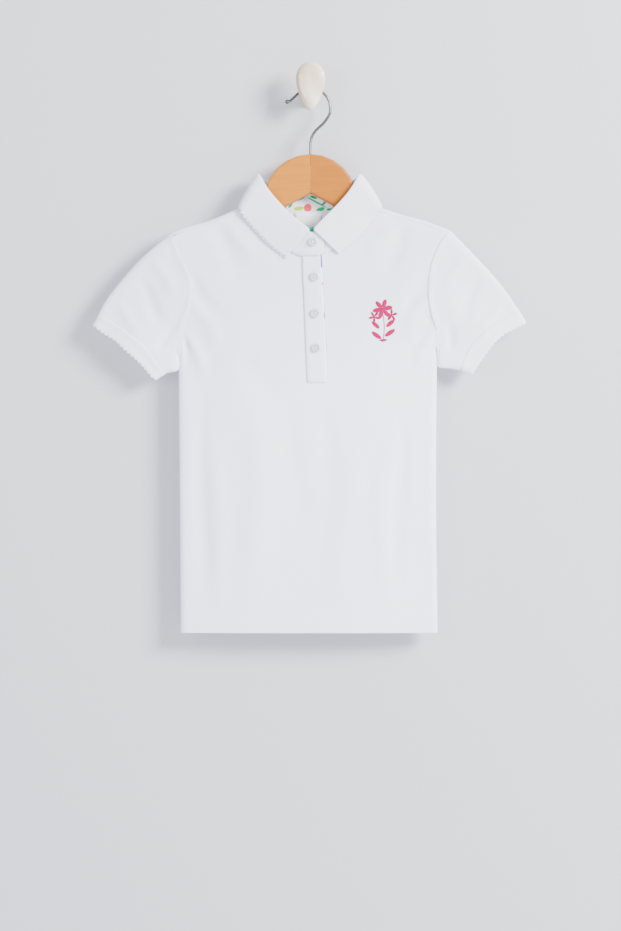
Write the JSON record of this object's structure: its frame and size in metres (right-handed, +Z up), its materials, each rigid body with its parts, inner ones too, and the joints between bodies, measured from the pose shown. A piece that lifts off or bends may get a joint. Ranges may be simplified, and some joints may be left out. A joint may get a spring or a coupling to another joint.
{
  "type": "polo shirt on a hanger",
  "caption": "Child's short-sleeve polo shirt with a buttoned placket, flat on a wooden hanger hung from a drop-shaped wall hook.",
  "frame": {"origin": "middle of the wall hook's flat back face, where it is fixed to the wall", "axes": "+Z up, +Y into the wall, +X to the viewer's right"},
  "size_m": [0.5031, 0.0391, 0.6624],
  "materials": {
    "pique": "white cotton pique knit, matte",
    "rib": "white flat-knit rib with a scalloped edge, matte",
    "print": "fine white cotton printed with small leaves and dots",
    "label": "bare woven satin label",
    "pearl": "pearly white, glossy",
    "wood": "honey-coloured, clear satin lacquer",
    "steel": "plain round wire, polished",
    "glaze": "cream marbled, glossy"
  },
  "bodies": {
    "root": {"front_panel": "pique", "back_panel": "pique", "sleeve_left": "pique", "sleeve_right": "pique", "cuff_left": "rib", "cuff_right": "rib", "collar": "rib", "collar_stand": "pique", "placket_top": "pique", "placket_under": "print", "neck_facing": "print", "neck_label": "label", "button_1": "pearl", "button_2": "pearl", "button_3": "pearl", "button_4": "pearl", "hanger_arm_left": "wood", "hanger_arm_right": "wood", "hanger_hook": "steel", "wall_hook_post": "glaze", "wall_hook_cap": "glaze"}
  },
  "joints": []
}
